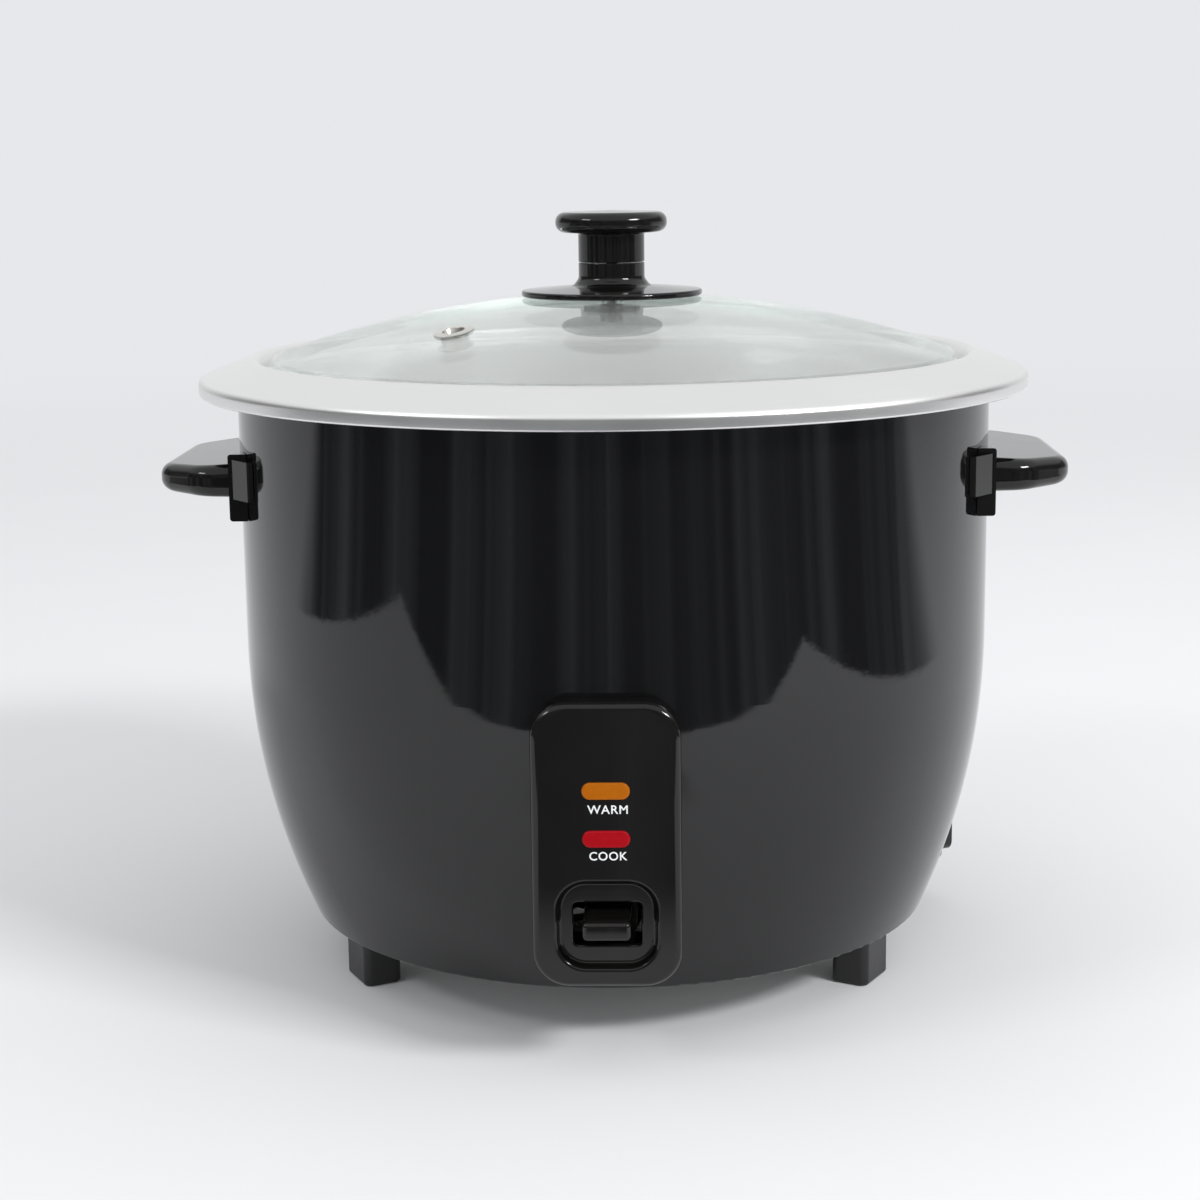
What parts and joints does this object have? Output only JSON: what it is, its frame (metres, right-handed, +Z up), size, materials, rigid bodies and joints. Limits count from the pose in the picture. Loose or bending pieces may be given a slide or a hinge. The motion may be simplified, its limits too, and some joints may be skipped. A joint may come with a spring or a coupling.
{
  "type": "rice cooker",
  "caption": "Drum-shaped electric rice cooker with a lift-out aluminium pot, domed glass lid, side handles and a push-down cook lever on its front panel.",
  "frame": {"origin": "on the table plane under the feet, at the drum's axis", "axes": "+Z up along the drum's axis, -Y out through the control panel, +X to the viewer's right across the handles"},
  "size_m": [0.302, 0.2805, 0.2546],
  "materials": {
    "black_enamel": "gloss black enamel",
    "zinc_steel": "zinc-plated sheet",
    "screw_steel": "plain steel",
    "black_gloss_plastic": "gloss moulding",
    "black_matte_plastic": "matte moulding",
    "white_plastic": "matte moulding",
    "amber_plastic": "tinted clear moulding",
    "red_plastic": "tinted clear moulding",
    "lamp_glass": "clear bulb",
    "nickel_brass": "nickel-plated brass",
    "aluminium_cast": "turned casting",
    "aluminium_sheet": "satin spun sheet",
    "element_steel": "sheathed tube",
    "ferrite": "sintered",
    "lid_glass": "pale green tempered glass",
    "grey_rubber": "silicone ring",
    "lead_insulation": "glass-braid sleeve",
    "earth_insulation": "green sleeve"
  },
  "bodies": {
    "base": {"outer_shell": "black_enamel", "chassis_plate": "zinc_steel", "foot_screws": "screw_steel", "bottom_cover": "zinc_steel", "cover_screws": "screw_steel", "foot_rear": "black_matte_plastic", "foot_front_left": "black_matte_plastic", "foot_front_right": "black_matte_plastic", "control_panel": "black_gloss_plastic", "panel_screws": "screw_steel", "amber_lens": "amber_plastic", "amber_lamp": "lamp_glass", "red_lens": "red_plastic", "red_lamp": "lamp_glass", "lamp_holder": "white_plastic", "handle_right": "black_gloss_plastic", "handle_left": "black_gloss_plastic", "handle_screws": "screw_steel", "power_inlet": "black_matte_plastic", "inlet_pins": "nickel_brass", "inlet_screws": "screw_steel", "heating_plate": "aluminium_cast", "heating_element": "element_steel", "element_terminals": "nickel_brass", "terminal_beads": "white_plastic", "heater_posts": "zinc_steel", "heater_screws": "screw_steel", "plate_screws": "screw_steel", "keep_warm_thermostat": "black_matte_plastic", "thermal_fuse": "aluminium_sheet", "fuse_clips": "zinc_steel", "limiter_strap": "zinc_steel", "sensor_spring": "screw_steel", "limiter_spring": "screw_steel", "lever_bracket": "zinc_steel", "lever_pin": "screw_steel", "micro_switch": "black_matte_plastic", "switch_screws": "screw_steel", "live_lead": "lead_insulation", "fuse_lead": "lead_insulation", "neutral_lead": "lead_insulation", "switch_lead": "lead_insulation", "earth_lead": "earth_insulation", "lamp_leads": "lead_insulation"},
    "lever": {"cook_lever": "zinc_steel", "lever_tongue": "black_gloss_plastic"},
    "limiter": {"pull_rod": "screw_steel", "limiter_magnet": "screw_steel"},
    "plunger": {"switch_plunger": "white_plastic"},
    "pot": {"inner_pot": "aluminium_sheet"},
    "sensor": {"sensor_cap": "aluminium_sheet", "sensor_ferrite": "ferrite"},
    "lid": {"glass_lid": "lid_glass", "vent_grommet": "aluminium_sheet", "knob_base": "black_gloss_plastic", "knob_top": "black_gloss_plastic", "lid_gasket": "grey_rubber", "lid_washer": "screw_steel", "knob_screw": "screw_steel"}
  },
  "joints": [
    {"name": "cook_press", "type": "hinge", "parent": "base", "child": "lever", "pos_m": [0, -0.07, 0.042], "axis": [1, 0, 0], "range_deg": [0, 3.4], "stiffness_Nm_per_rad": 1.5, "springref_deg": -5.73},
    {"name": "limiter_rise", "type": "slide", "parent": "base", "child": "limiter", "axis": [0, 0, 1], "range_m": [0, 0.0042], "deforming": ["limiter_spring"]},
    {"name": "plunger_press", "type": "slide", "parent": "base", "child": "plunger", "axis": [0, 0, -1], "range_m": [0, 0.0014]},
    {"name": "pot_lift", "type": "slide", "parent": "base", "child": "pot", "axis": [0, 0, 1], "range_m": [0, 0.16]},
    {"name": "sensor_rise", "type": "slide", "parent": "base", "child": "sensor", "axis": [0, 0, 1], "range_m": [0, 0.0025], "deforming": ["sensor_spring"]},
    {"name": "lid_lift", "type": "slide", "parent": "pot", "child": "lid", "axis": [0, 0, 1], "range_m": [0, 0.12]}
  ],
  "couplings": [
    {"joint": "limiter_rise", "follows": "cook_press", "m_per_rad": 0.07},
    {"joint": "plunger_press", "follows": "cook_press", "m_per_rad": 0.023},
    {"joint": "sensor_rise", "follows": "pot_lift", "ratio": 0.015625}
  ]
}
